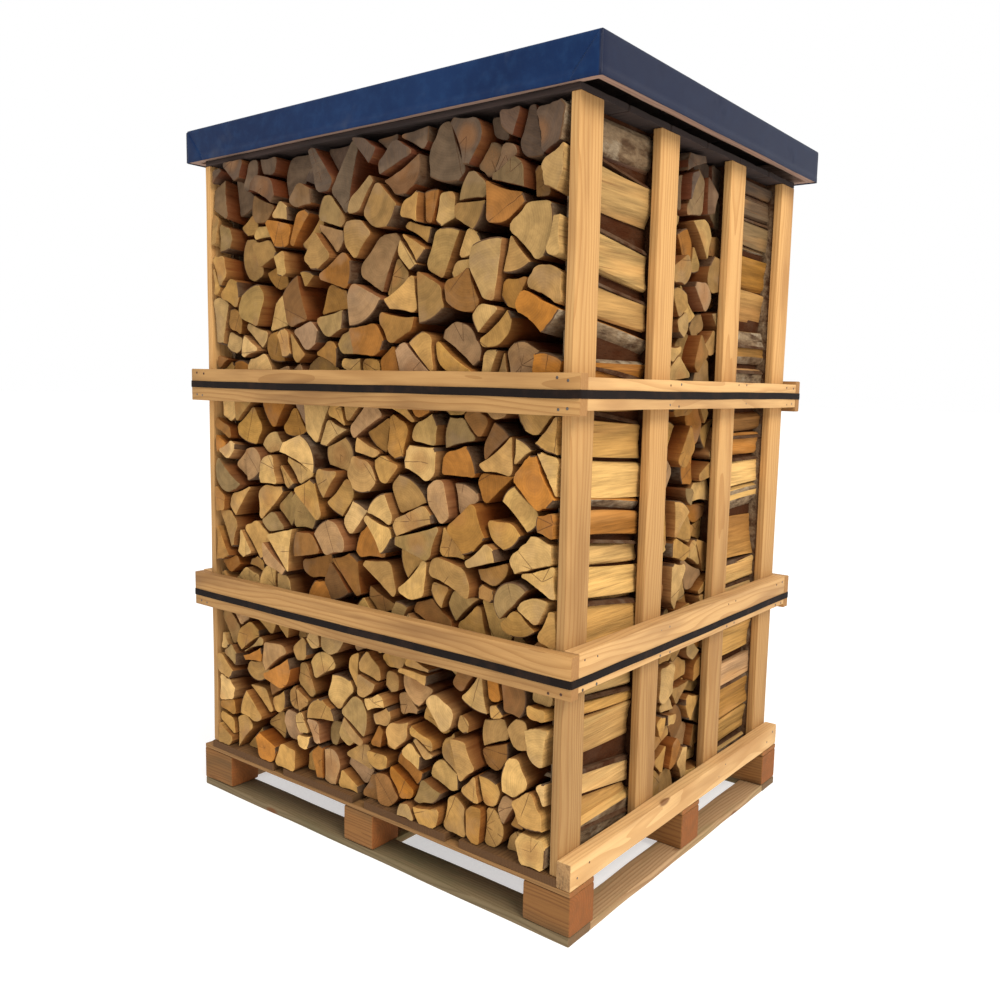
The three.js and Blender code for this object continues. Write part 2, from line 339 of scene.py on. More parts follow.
LOG_MATS = [log_end_material(), log_split_material(), bark_material()]
LOG_END, LOG_SPLIT, LOG_BARK = range(3)
# Posts: painted shade darkens them towards the bottom.
POST_WOOD = board_material(
    "post_pine", (194, 150, 96), (170, 123, 72), (146, 102, 58), 0.6, painted_low_shade=(0.35, 1.3, 0.74, 1.04)
)
BEAM_WOOD = board_material(
    "beam_pine", (214, 174, 122), (188, 144, 94), (152, 108, 64), 0.6, 0.78, (88, 60, 34)
)
RAIL_WOOD = board_material("rail_pine", (204, 162, 110), (178, 134, 86), (150, 112, 74), 0.65)
# A darker copy of the rail wood for the front and back rails: painted shade.
SHADED_FRONT_RAIL_WOOD = board_material(
    "rail_pine_front_shade", (176, 134, 84), (150, 108, 62), (116, 80, 46), 0.75, 0.8, (150, 108, 64)
)
DECK_WOOD = board_material("deck_board", (112, 80, 48), (84, 56, 30), (66, 48, 30), 0.8, 0.86)
STRINGER_WOOD = board_material(
    "stringer_board", (142, 104, 64), (114, 82, 46), (102, 76, 46), 0.7, 0.84, (150, 88, 42)
)
BASE_WOOD = board_material(
    "base_board", (176, 142, 106), (144, 110, 76), (128, 120, 82), 0.9, 0.86, (88, 70, 48)
)
# A darker copy of the base board wood for the front and back boards: painted shadow of the crate.
SHADED_BASE_WOOD = board_material(
    "base_board_shade", (122, 104, 78), (96, 80, 56), (88, 86, 60), 0.9, 0.86, (116, 84, 56)
)
BLOCK_WOOD = board_material(
    "pallet_block", (136, 93, 50), (108, 68, 34), (92, 68, 40), 0.85, 0.85, (142, 82, 38)
)
# The lid's boards are painted in shade: the deck dark, the rim a dim lilac grey as lit by bounced light.
LID_SHADOW_WOOD = board_material("lid_board_shadow", (64, 50, 46), (46, 36, 33), (38, 31, 30), 0.6, 0.85)
LID_RIM_SHADE_WOOD = board_material(
    "lid_rim_shade", (158, 130, 116), (128, 100, 88), (108, 90, 86), 0.6, 0.85
)
TARP, STRAP, NAIL, FLOOR = tarp_material(), strap_material(), nail_material(), floor_material()

# ---------------------------------------------------------------- mesh collector

# Space between two patches on a texture map, as a share of its width.
MAP_GAP = 0.0035


def shelved(sizes, width):
    """Lower left corners of rectangles set side by side on shelves of this width, and the height
    that they take."""
    corners = [None] * len(sizes)
    x = y = shelf = 0.0
    for i in sorted(range(len(sizes)), key=lambda i: -sizes[i][1]):
        wide, tall = sizes[i]
        if x + wide > width:
            x, y, shelf = 0.0, y + shelf, 0.0
        corners[i] = (x, y)
        x += wide
        shelf = max(shelf, tall)
    return corners, y + shelf


def in_scene(name, mesh, sharp):
    """An object from a mesh, smooth but for sharp edges where faces turn by more than an angle."""
    mesh.shade_smooth()
    mesh.set_sharp_from_angle(angle=math.radians(sharp))
    mesh.update()
    made = bpy.data.objects.new(name, mesh)
    bpy.context.scene.collection.objects.link(made)
    return made


def plain_mesh(name, verts, faces, material, sharp=180.0):
    """A mesh of one material."""
    mesh = bpy.data.meshes.new(name)
    mesh.from_pydata(verts, [], faces)
    mesh.materials.append(material)
    return in_scene(name, mesh, sharp)


def hand_in(made, nodes):
    """Hands a piece to the frame: the CAD nodes it replaces, and the body it rides on."""
    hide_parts(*nodes)
    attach(made, "root")


def turned_round(count):
    """Pairs of neighbours in a ring of points, the last with the first."""
    return [(i, (i + 1) % count) for i in range(count)]


class Solid:
    """Collects prisms into one mesh with the attributes that the materials read, and a texture map
    on which each end and each side is a rectangle of its own."""

    # Attribute, its kind in Blender, the field that holds it, and how many numbers it has.
    ATTRIBUTES = (
        ("at", "FLOAT_VECTOR", "vector", 3),
        ("tone", "FLOAT_COLOR", "color", 4),
        ("rnd", "FLOAT", "value", 1),
        ("rim", "FLOAT", "value", 1),
        ("end", "FLOAT", "value", 1),
        # deep is how much painted shade a side takes where it faces other logs.
        ("deep", "FLOAT", "value", 1),
    )

    def __init__(self):
        self.verts, self.faces, self.slots = [], [], []
        self.values = {key: [] for key, _, _, _ in self.ATTRIBUTES}
        self.count = 0
        self.patches, self.spots = [], []

    def patch(self, wide, tall):
        """A rectangle on the map, sized in metres at the scale that its detail asks for."""
        self.patches.append((max(wide, 0.006), max(tall, 0.006)))
        return len(self.patches) - 1

    def face(self, corners, slot, patch, flip):
        """corners are (vertex, u, v), with u and v from 0 to 1 on the patch."""
        corners = corners[::-1] if flip else corners
        self.faces.append([c[0] for c in corners])
        self.slots.append(slot)
        self.spots += [(patch, c[1], c[2]) for c in corners]

    def ring(self, world, local, tone, rnd, rim=0.0, end=0.0, deep=0.0):
        """A row of points with their attributes. Returns the number of the first."""
        n = len(world)
        self.verts.append(world)
        given = {"at": local, "tone": (*tone, 1.0), "rnd": rnd, "rim": rim, "end": end, "deep": deep}
        for key, _, _, width in self.ATTRIBUTES:
            shape = (n,) if width == 1 else (n, width)
            self.values[key].append(np.broadcast_to(np.asarray(given[key], float), shape))
        self.count += n
        return self.count - n

    def strip(self, a, b, slots, flip, patch, on_a, on_b):
        """The faces between two rings. on_a and on_b hold each point's place on the patch, and the
        first point's once more."""
        for i, j in turned_round(len(slots)):
            corners = [(a + i, *on_a[i]), (a + j, *on_a[i + 1])]
            corners += [(b + j, *on_b[i + 1]), (b + i, *on_b[i])]
            self.face(corners, slots[i], patch, flip)

    def fan(self, a, centre, slots, flip, patch, on_a, on_centre):
        """The middle of an end, from a ring to a point."""
        for i, j in turned_round(len(slots)):
            corners = [(a + i, *on_a[i]), (a + j, *on_a[i + 1]), (centre, *on_centre)]
            self.face(corners, slots[i], patch, flip)

    def map_corners(self):
        """Each face corner's place on the whole map, with every patch at one scale and a margin
        round it."""

        def sizes_at(scale):
            return [(w * scale + MAP_GAP, h * scale + MAP_GAP) for w, h in self.patches]

        low, high = 0.0, 100.0
        for _ in range(30):
            scale = (low + high) / 2
            fits = shelved(sizes_at(scale), 1.0)[1] <= 1
            low, high = (scale, high) if fits else (low, scale)
        sizes = sizes_at(low)
        corner = np.array(shelved(sizes, 1.0)[0])
        size = np.array(sizes) - MAP_GAP
        patch = np.array([spot[0] for spot in self.spots])
        local = np.array([spot[1:] for spot in self.spots], float)
        return corner[patch] + MAP_GAP / 2 + local.clip(0, 1) * size[patch]

    def make(self, name, materials, mapped=False):
        mesh = bpy.data.meshes.new(name)
        mesh.from_pydata(np.concatenate(self.verts).tolist(), [], self.faces)
        for mat in materials:
            mesh.materials.append(mat)
        mesh.polygons.foreach_set("material_index", self.slots)
        for key, kind, field, _ in self.ATTRIBUTES:
            data = np.concatenate(self.values[key]).astype(np.float32)
            mesh.attributes.new(key, kind, "POINT").data.foreach_set(field, data.ravel())
        if mapped:
            layer = mesh.uv_layers.new(name="OFBake")
            layer.uv.foreach_set("vector", self.map_corners().astype(np.float32).ravel())
        return in_scene(name, mesh, 38.0)


# Axis order: (first cross axis, second cross axis, length axis) as world axes, and whether that
# order is left-handed, which turns the faces round.
ALONG_X = ((1, 2, 0), False)
ALONG_Y = ((0, 2, 1), True)
ALONG_Z = ((0, 1, 2), False)


def prism(solid, points, slots, ends, direction, section, tone, rnd, pith=(0, 0), stations=4,
          low_cap=True, high_cap=True, rims=None, low_tilt=(0, 0), high_tilt=(0, 0), cap_slot=LOG_END,
          bevel=0.0012, band=0.005, hidden=None, detail=1.0):
    """A solid along one axis: outline points (N x 2), a material slot for each outline edge,
    its two end positions, and section(points, t) that bends the outline at t from 0 to 1.
    stations is a number of even steps or a list of t. hidden gives how far each point's side is
    from daylight, 0 to 1, as painted shade that darkens it more further from the finished end.
    detail is how much of the texture map the sides get, against 1 for the finished end."""
    axes, flip = direction
    n = len(points)
    lo, hi = ends
    mid = points.mean(axis=0)
    rims = np.zeros(n) if rims is None else rims
    hidden = np.zeros(n) if hidden is None else hidden
    steps = [k / stations for k in range(stations + 1)] if isinstance(stations, int) else stations
    edges = np.linalg.norm(np.roll(points, -1, axis=0) - points, axis=1)
    around = np.concatenate([[0.0], np.cumsum(edges)]) / edges.sum()
    caps = [cap_slot] * n
    least, span = points.min(axis=0), np.ptp(points, axis=0)
    side_patch = solid.patch(edges.sum() * detail, (hi - lo) * detail)

    def on_end(flat):
        """Places on an end's patch, a little inside its edge because the outline is bent."""
        places = (0.04 + 0.92 * (flat - least) / span).tolist()
        return places + places[:1]

    def slope(flat, tilt):
        return (flat - mid) @ np.asarray(tilt, float)

    def put(flat, length, rim=0.0, end=0.0, deep=0.0):
        world = np.zeros((len(flat), 3))
        world[:, axes[0]] = flat[:, 0]
        world[:, axes[1]] = flat[:, 1]
        world[:, axes[2]] = length
        local = np.column_stack([flat - np.asarray(pith, float), length])
        return solid.ring(world, local, tone, rnd, rim, end, deep)

    rows = []
    for t in steps:
        flat = section(points, t)
        length = lo + bevel + (hi - lo - 2 * bevel) * t
        near_low, near_high = max(0.0, 1 - 3 * t), max(0.0, 3 * t - 2)
        length = length + slope(flat, low_tilt) * near_low + slope(flat, high_tilt) * near_high
        seen = [abs(hi - lo) * d for d, cap in ((t, low_cap), (1 - t, high_cap)) if cap]
        rows.append(put(flat, length, rims, 0.0, hidden * min(1.0, 0.62 + 9 * min(seen or [1.0]))))
    last = len(rows) - 1
    for k in range(last):
        low_edge, high_edge = ([(u, v / last) for u in around] for v in (k, k + 1))
        solid.strip(rows[k], rows[k + 1], slots, flip, side_patch, low_edge, high_edge)
    for at_low, full in ((True, low_cap), (False, high_cap)):
        flat = section(points, 0.0 if at_low else 1.0)
        centre = flat.mean(axis=0)
        base, tilt, outermost = (lo, low_tilt, rows[0]) if at_low else (hi, high_tilt, rows[-1])
        turn = flip != at_low
        on_outermost = on_end(flat)
        end_patch = solid.patch(*(span if full else 0.1 * span))
        if full:
            reach = np.linalg.norm(flat - centre, axis=1, keepdims=True)
            edge = centre + (flat - centre) * (1 - np.minimum(bevel / reach, 0.3))
            inner = centre + (flat - centre) * (1 - np.minimum(band / reach, 0.45))
            ring_a = put(edge, base + slope(edge, tilt), rims, 1.0)
            ring_b = put(inner, base + slope(inner, tilt), 0.0, 1.0)
            solid.strip(outermost, ring_a, caps, turn, end_patch, on_outermost, on_end(edge))
            solid.strip(ring_a, ring_b, caps, turn, end_patch, on_end(edge), on_end(inner))
            outermost, on_outermost = ring_b, on_end(inner)
        centre = centre[None, :]
        middle = put(centre, base + slope(centre, tilt), 0.0, 1.0)
        solid.fan(outermost, middle, caps, turn, end_patch, on_outermost, on_end(centre)[0])


# ---------------------------------------------------------------- packing of split logs

SPLIT, ARC, LEFT, RIGHT, FLOOR_EDGE, TOP_EDGE = range(6)


def edges_of(poly):
    """Pairs of neighbouring corners; a corner is (x, y, tag of the edge after it)."""
    return zip(poly, poly[1:] + poly[:1])


def clip(poly, nx, ny, d, tag):
    """The part of a convex polygon with nx*x + ny*y <= d, whose new edge gets the tag."""
    out = []
    for (x0, y0, t0), (x1, y1, _) in edges_of(poly):
        a, b = nx * x0 + ny * y0 - d, nx * x1 + ny * y1 - d
        if a <= 0:
            out.append((x0, y0, t0))
        if (a <= 0) != (b <= 0):
            s = a / (a - b)
            out.append((x0 + s * (x1 - x0), y0 + s * (y1 - y0), tag if a <= 0 else t0))
    return out


def area_centre(poly):
    """Area and middle of a polygon."""
    total, cx, cy = 0.0, 0.0, 0.0
    for (x0, y0, _), (x1, y1, _) in edges_of(poly):
        cross = x0 * y1 - x1 * y0
        total += cross
        cx += (x0 + x1) * cross
        cy += (y0 + y1) * cross
    total /= 2
    return total, cx / (6 * total), cy / (6 * total)


# How many neighbours can cut a cell, and how often the cells are relaxed.
NEIGHBOURS = 26
RELAXED = 2


def cells(rng, x0, x1, y0, y1, count):
    """Power-diagram cells of scattered points, relaxed a little so that sizes and shapes vary."""
    seeds = []
    for _ in range(count):
        tries = [(rng.uniform(x0, x1), rng.uniform(y0, y1)) for _ in range(7)]
        seeds.append(max(tries, key=lambda p: min([math.dist(p, q) for q in seeds] or [1.0])))
    size = (x1 - x0) * (y1 - y0) / count
    weights = [rng.uniform(-0.34, 0.34) * size for _ in seeds]
    for turn in range(RELAXED + 1):
        made = []
        for i, (px, py) in enumerate(seeds):
            poly = [(x0, y0, FLOOR_EDGE), (x1, y0, RIGHT), (x1, y1, TOP_EDGE), (x0, y1, LEFT)]
            others = [j for j in range(count) if j != i]
            others.sort(key=lambda j: math.dist(seeds[j], (px, py)))
            for j in others[:NEIGHBOURS]:
                qx, qy = seeds[j]
                d = (qx * qx + qy * qy - px * px - py * py - weights[j] + weights[i]) / 2
                poly = clip(poly, qx - px, qy - py, d, SPLIT)
                if len(poly) < 3:
                    break
            made.append(poly)
        if turn < RELAXED:
            for i, poly in enumerate(made):
                if len(poly) > 2:
                    _, cx, cy = area_centre(poly)
                    x, y = seeds[i]
                    seeds[i] = (x + 0.6 * (cx - x), y + 0.6 * (cy - y))
    return [p for p in made if len(p) > 2]


def halves(rng, poly):
    """A cell split in two by a straight cut, across its long side more often than not."""
    _, cx, cy = area_centre(poly)
    xs = np.array([(x - cx, y - cy) for x, y, _ in poly])
    values, vectors = np.linalg.eigh(xs.T @ xs)
    long_way = math.atan2(vectors[1, 1], vectors[0, 1])
    angle = long_way + rng.gauss(0, 0.45) if rng.random() < 0.72 else rng.uniform(0, math.pi)
    nx, ny = math.cos(angle), math.sin(angle)
    d = nx * cx + ny * cy + rng.gauss(0, 0.16) * math.sqrt(values[1] / len(poly))
    return [clip(poly, nx, ny, d, SPLIT), clip(poly, -nx, -ny, -d, SPLIT)]


def pull_in(rng, poly, ragged_sides, ragged_top):
    """Leaves the gap to the neighbours on every side, or gives None where nothing is left."""
    out = list(poly)
    for (x0, y0, tag), (x1, y1, _) in edges_of(poly):
        length = math.hypot(x1 - x0, y1 - y0)
        if length < 1e-6:
            continue
        nx, ny = (y1 - y0) / length, -(x1 - x0) / length
        gap = rng.uniform(0.0014, 0.0042)
        lean = 0.0
        if tag in (LEFT, RIGHT):
            gap = rng.uniform(0.0, 0.014) if ragged_sides else 0.001
            lean = rng.uniform(-0.14, 0.14) if ragged_sides else 0.0
        elif tag == TOP_EDGE:
            gap = rng.uniform(0.0, 0.008) if ragged_top else 0.001
            lean = rng.uniform(-0.16, 0.16) if ragged_top else 0.0
        elif tag == FLOOR_EDGE:
            gap = 0.0004
        back = gap + abs(lean) * length / 2
        mx, my = (x0 + x1) / 2 - nx * back, (y0 + y1) / 2 - ny * back
        c, s = math.cos(lean), math.sin(lean)
        rx, ry = nx * c - ny * s, nx * s + ny * c
        out = clip(out, rx, ry, rx * mx + ry * my, tag)
        if len(out) < 3:
            return None
    return out


def corner_angle(poly, i):
    (ax, ay, _), (bx, by, _), (cx, cy, _) = poly[i - 1], poly[i], poly[(i + 1) % len(poly)]
    u, v = (ax - bx, ay - by), (cx - bx, cy - by)
    dot = (u[0] * v[0] + u[1] * v[1]) / max(1e-12, math.hypot(*u) * math.hypot(*v))
    return math.acos(max(-1.0, min(1.0, dot)))


ARC_SIDES = 44


def shape_log(rng, poly):
    """Cuts a round back into a cell, for a wedge, a half or a whole round, or leaves it as it is.
    Gives the outline and the pith."""
    area, cx, cy = area_centre(poly)
    corners = [(x, y) for x, y, _ in poly]
    sharpest = min(range(len(poly)), key=lambda i: corner_angle(poly, i))
    pick = rng.random()
    if corner_angle(poly, sharpest) < 1.8 and pick < 0.6:
        bx, by = corners[sharpest]
        out = rng.uniform(0.0, 0.012)
        reach = math.hypot(bx - cx, by - cy) or 1.0
        centre = (bx + (bx - cx) / reach * out, by + (by - cy) / reach * out)
        shrink = rng.uniform(0.80, 0.95)
    elif pick < 0.76:
        sides = list(edges_of(corners))
        (ax, ay), (bx, by) = max(sides, key=lambda side: math.dist(*side))
        centre = ((ax + bx) / 2, (ay + by) / 2)
        shrink = rng.uniform(0.78, 0.93)
    elif pick < 0.92:
        centre = (cx, cy)
        shrink = rng.uniform(0.80, 0.92)
    else:
        turn, far = rng.uniform(0, FULL_TURN), rng.uniform(0.03, 0.09)
        return poly, (cx + far * math.cos(turn), cy + far * math.sin(turn))
    radius = shrink * max(math.dist(centre, c) for c in corners)
    cut = poly
    for k in range(ARC_SIDES):
        nx, ny = math.cos(FULL_TURN * k / ARC_SIDES), math.sin(FULL_TURN * k / ARC_SIDES)
        cut = clip(cut, nx, ny, nx * centre[0] + ny * centre[1] + radius, ARC)
        if len(cut) < 3:
            return poly, centre
    return (poly if area_centre(cut)[0] < 0.68 * area else cut), centre


def rounded(rng, poly, radius):
    """Points and edge tags of a polygon with rounded corners, each with a radius of its own."""
    points, tags = [], []
    for i, (x, y, tag) in enumerate(poly):
        before, after = poly[i - 1], poly[(i + 1) % len(poly)]
        la, lb = math.dist((x, y), before[:2]), math.dist((x, y), after[:2])
        smooth = tag == ARC and before[2] == ARC
        r = 0.0 if smooth else min(radius * rng.uniform(0.5, 1.6), 0.42 * la, 0.42 * lb)
        if r < 0.0006:
            points.append((x, y))
            tags.append(tag)
            continue
        ax, ay = x + (before[0] - x) * r / la, y + (before[1] - y) * r / la
        bx, by = x + (after[0] - x) * r / lb, y + (after[1] - y) * r / lb
        shares = (0, 0.5, 1) if r < 0.006 else (0, 0.3, 0.7, 1)
        for t in shares:
            p, q, w = (1 - t) ** 2, 2 * t * (1 - t), t * t
            points.append((p * ax + q * x + w * bx, p * ay + q * y + w * by))
            tags.append(tag if t else before[2])
    return points, tags


def soften(rng, poly, radius, step, wander=1.0):
    """Rounds the corners and breaks long straight edges. Returns points and edge tags."""
    points, tags = rounded(rng, poly, radius)
    out, out_tags = [], []
    for (a, b), tag in zip(edges_of(points), tags):
        length = math.dist(a, b)
        out.append(a)
        out_tags.append(tag)
        parts = int(length / step)
        if parts < 2 or length < 1e-9:
            continue
        nx, ny = (b[1] - a[1]) / length, -(b[0] - a[0]) / length
        dip = rng.uniform(-0.05, 0.02) * length * wander
        for k in range(1, parts):
            t = k / parts
            off = -max(-0.0012, -dip) * math.sin(math.pi * t) - rng.uniform(0, 0.0012) * wander
            out.append((a[0] + (b[0] - a[0]) * t + nx * off, a[1] + (b[1] - a[1]) * t + ny * off))
            out_tags.append(tag)
    return np.array(out), out_tags


# Share of the logs, and the colour of their wood.
TONES = [
    (0.36, (178, 136, 76)),
    (0.22, (200, 160, 98)),
    (0.13, (160, 115, 57)),
    (0.09, (168, 130, 88)),
    (0.08, (170, 111, 46)),
    (0.06, (152, 122, 74)),
    (0.06, (136, 94, 50)),
]
# Painted shadow of the lid on the logs right under it.
LID_SHADOW_TONE = (72, 60, 53)


def share_above(height, start, over):
    """0 at the start height, 1 at a distance over it."""
    return min(1.0, max(0.0, (height - start) / over))


def pick_tone(rng, height=0.0, shade=1.0):
    """A wood colour. Painted shade dulls the upper tier, and painted lid shadow darkens and greys the
    top logs.
    """
    at, total = rng.random() * sum(w for w, _ in TONES), 0.0
    for weight, colour in TONES:
        total += weight
        if at <= total:
            break
    k, warmth = rng.gauss(1.0, 0.055), rng.gauss(0, 3.0)
    red, green, blue = colour
    colour = np.array(rgb(min(245, red * k + warmth * 0.4), green * k, blue * k - warmth))
    # Painted shade: the upper tier gets duller with height.
    colour *= shade * (1 - 0.2 * share_above(height, 1.1, 0.3))
    # Painted shadow of the lid: the top logs turn dark and grey.
    grey = 0.9 * share_above(height, 1.46, 0.11)
    return colour * (1 - grey) + np.array(rgb(*LID_SHADOW_TONE)) * grey


def bent(rng, rugged, room=1.0, rise=0.0):
    """A small taper, twist and drift along a log, with ridges where it is seen from the side.
    room, 0 to 1, is how freely its ends can move up and down, and rise lifts the high end."""
    taper, twist = rng.uniform(-0.03, 0.01), rng.uniform(-0.03, 0.03)
    drift = np.array([rng.uniform(-0.0012, 0.0012), rng.uniform(-0.0012, 0.0012)])
    fall = rng.uniform(-0.014, 0.014) if rugged else 0.0
    bow = rng.uniform(-0.005, 0.005)
    waves = [(rng.uniform(2, 9), rng.uniform(0, 6.3), rng.uniform(0.2, 1.0)) for _ in range(5)]
    nicks = [(rng.uniform(10, 26), rng.uniform(0, 6.3), 0.25) for _ in range(3)]
    nicks += [(rng.uniform(26, 44), rng.uniform(0, 6.3), 0.3) for _ in range(3)]

    def section(points, t):
        centre = points.mean(axis=0)
        a = twist * (t - 0.5) * 0.5
        turn = np.array([[math.cos(a), -math.sin(a)], [math.sin(a), math.cos(a)]])
        size = 1 + taper * abs(t - 0.4)
        out = (points - centre) @ turn.T * size + centre + drift * math.sin(3.0 * t)
        if rugged:
            around = np.arctan2(out[:, 1] - centre[1], out[:, 0] - centre[0])
            depth = sum(w * np.sin(f * around + p + 2.6 * w * t) for f, p, w in waves) / 3
            depth += sum(w * np.sin(f * around + p + f * 0.12 * t) for f, p, w in nicks) / 3
            pull = 1 - 0.045 * np.clip(0.7 + depth, 0, 2)
            out = centre + (out - centre) * pull[:, None]
            out[:, 1] += (fall * (t - 0.5) + bow * math.sin(math.pi * t)) * room
        out[:, 1] += rise * t * room
        return out

    return section


def turned(rng, poly):
    """A cell turned and shrunk a little, so that it no longer fits its neighbours exactly."""
    _, cx, cy = area_centre(poly)
    a, k = rng.gauss(0, 0.05), rng.uniform(0.93, 1.0)
    c, s = k * math.cos(a), k * math.sin(a)
    moved = [(x - cx, y - cy, tag) for x, y, tag in poly]
    return [(cx + c * x - s * y, cy + s * x + c * y, tag) for x, y, tag in moved]


SMALLEST_LOG = 0.0007


def pack_row(seed, reach, tier, ragged_sides):
    """Outlines for one row of logs seen end on: (rng, outline, pith) for each log."""
    low, high, count, split_share, ragged_top = tier
    rng = random.Random(seed)
    mean = 2 * reach * (high - low) / count
    found = []
    for cell in cells(rng, -reach, reach, low, high, count):
        area = area_centre(cell)[0]
        parts = [cell]
        if area > 1.3 * mean or (area > 0.6 * mean and rng.random() < split_share):
            parts = halves(rng, cell)
            if area > 1.7 * mean:
                parts = halves(rng, parts[0]) + parts[1:]
        for part in parts:
            if len(part) < 3:
                continue
            inside = all(tag == SPLIT for _, _, tag in part)
            if inside and area_centre(part)[0] < 0.5 * mean and rng.random() < 0.13:
                continue
            part = pull_in(rng, part, ragged_sides, ragged_top)
            if part is None or area_centre(part)[0] < SMALLEST_LOG:
                continue
            if inside:
                part = turned(rng, part)
            found.append((rng, *shape_log(rng, part)))
    return found


# ---------------------------------------------------------------- rows of logs

# Heights between which a rail lies over the ends of the logs.
RAIL_ZONES = ((0.505, 0.602), (1.046, 1.134))
# How far the ends of the front row reach, and how much further where no rail lies over them.
ROW_FRONT = 0.5145
PROUD = 0.0125
# Where the middle row begins.
INNER = 0.178
# How far the inner end of a log beside the front bays lies above its outer end.
SIDE_RISE = -0.034
POST_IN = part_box("post_right_1")[0][0]
INNER_POST_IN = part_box("post_right_3")[0][1]
# Where the sections of a log lie when only its low end is finished.
STEPS = [0.0, 0.05, 0.15, 0.5, 1.0]
RUGGED_STEPS = 20


def finished_end(shown):
    """Where a log's sections lie and which end is closed off, for shown as in add_log."""
    steps = [1 - t for t in reversed(STEPS)] if shown > 0 else STEPS
    return {"stations": steps, "low_cap": shown < 0, "high_cap": shown > 0}


def add_log(solid, rng, outline, pith, ends, direction, shown, rugged=False, tilt=(0, 0), rise=0.0):
    """One split log. shown is 1 where its finished end is at the high end of its axis and -1 where
    it is at the low end. rugged makes its side ready to be seen."""
    points, tags = soften(rng, outline, 0.013, 0.006 if rugged else 0.012)
    barked = {ARC} if rng.random() < (0.5 if rugged else 0.75) else set()
    if rugged and rng.random() < 0.14:
        barked |= {LEFT, RIGHT}
    slots = [LOG_BARK if tag in barked else LOG_SPLIT for tag in tags]
    rims = np.array([float(slot == LOG_BARK) for slot in slots])
    across = direction is ALONG_X
    # Painted shade: sides set back from the open sides of the crate, and all sides of logs that run
    # across, are darkened.
    behind = POST_IN - np.abs(points[:, 0])
    hidden = np.ones(len(tags)) if across else ((behind - 0.013) / 0.035).clip(0, 1)
    tone = pick_tone(rng, points[:, 1].mean(), 0.75 if across else 0.95)
    room = float(all(tag not in (FLOOR_EDGE, TOP_EDGE) for _, _, tag in outline))
    options = finished_end(shown)
    options["low_tilt" if shown < 0 else "high_tilt"] = tilt
    if rugged:
        options["stations"] = RUGGED_STEPS
    prism(
        solid, points, slots, ends, direction, bent(rng, rugged, room, rise), tone, rng.random(),
        pith, rims=rims, hidden=hidden, detail=0.62 if rugged else 0.24, **options,
    )


def add_slivers(solid, rng, outline, ends, shown, rise):
    """Thin bark slivers that lie in the gaps next to the posts."""
    for (_, y0, tag), (_, y1, _) in edges_of(outline):
        if tag not in (LEFT, RIGHT) or abs(y1 - y0) < 0.02 or rng.random() < 0.45:
            continue
        top = max(y0, y1)
        wide, thick = rng.uniform(0.022, 0.034), rng.uniform(0.004, 0.007)
        cx = (1 if tag == RIGHT else -1) * (POST_IN - 0.030 - rng.uniform(0.0, 0.01))
        lean = rng.uniform(-0.1, 0.1)
        c, s = math.cos(lean), math.sin(lean)
        shape = [(-wide, -thick), (wide, -thick * 0.6), (wide * 0.8, thick), (-wide * 0.7, thick * 0.8)]
        points = np.array([(cx + c * x - s * y, top + s * x + c * y) for x, y in shape])
        prism(
            solid, points, [LOG_BARK] * 4, ends, ALONG_Y, bent(rng, False, 1.0, rise),
            pick_tone(rng), rng.random(), (cx, top), rims=np.ones(4), hidden=np.full(4, 0.8),
            cap_slot=LOG_BARK, detail=0.3, **finished_end(shown),
        )


def straight(flat, t):
    return flat


def add_filler(solid, rng, middle, half, low, high, ends, direction, **options):
    """A straight dark block in bark colour and painted shade, middle and half being its place and half
    its thickness.
    """
    points = np.array([
        (middle - half, low), (middle + half, low), (middle + half, high), (middle - half, high),
    ])
    prism(
        solid, points, [LOG_BARK] * 4, ends, direction, straight, pick_tone(rng), rng.random(),
        (abs(middle), low), hidden=np.ones(4), cap_slot=LOG_BARK, detail=0.1, **options,
    )


def add_infill(solid, rng, low, high, shown):
    """Dark sheets in bark colour and painted shade that close the gaps next to the posts, where there
    is only shade: a sheet behind the outermost logs, and a stop behind each outer post."""
    sheet = (POST_IN - 0.030, 0.003, INNER + 0.002, 0.470)
    stop = (POST_IN - 0.0170, 0.0164, 0.437, 0.455)
    for sign in (-1, 1):
        for x, half, near, far in (sheet, stop):
            ends = (-far, -near) if shown < 0 else (near, far)
            add_filler(
                solid, rng, sign * x, half, low, high, ends, ALONG_Y, rims=np.ones(4),
                bevel=0.0003, band=0.0005, **finished_end(shown),
            )


def add_wall(solid, rng, reach, low, high, ends, direction):
    """A thin dark wall deep inside in painted shade, which no light passes: it stands for the shade
    between the logs.
    """
    add_filler(
        solid, rng, 0.0, reach, low, high, ends, direction,
        stations=1, low_cap=False, high_cap=False, bevel=0.0,
    )


def filled(tier):
    """Lowest and highest point of what closes the gaps in a tier. Under the lid it reaches past
    the ragged tops of the logs."""
    low, high, ragged_top = tier[0], tier[1], tier[4]
    return low + 0.003, high + (0.001 if ragged_top else -0.001)


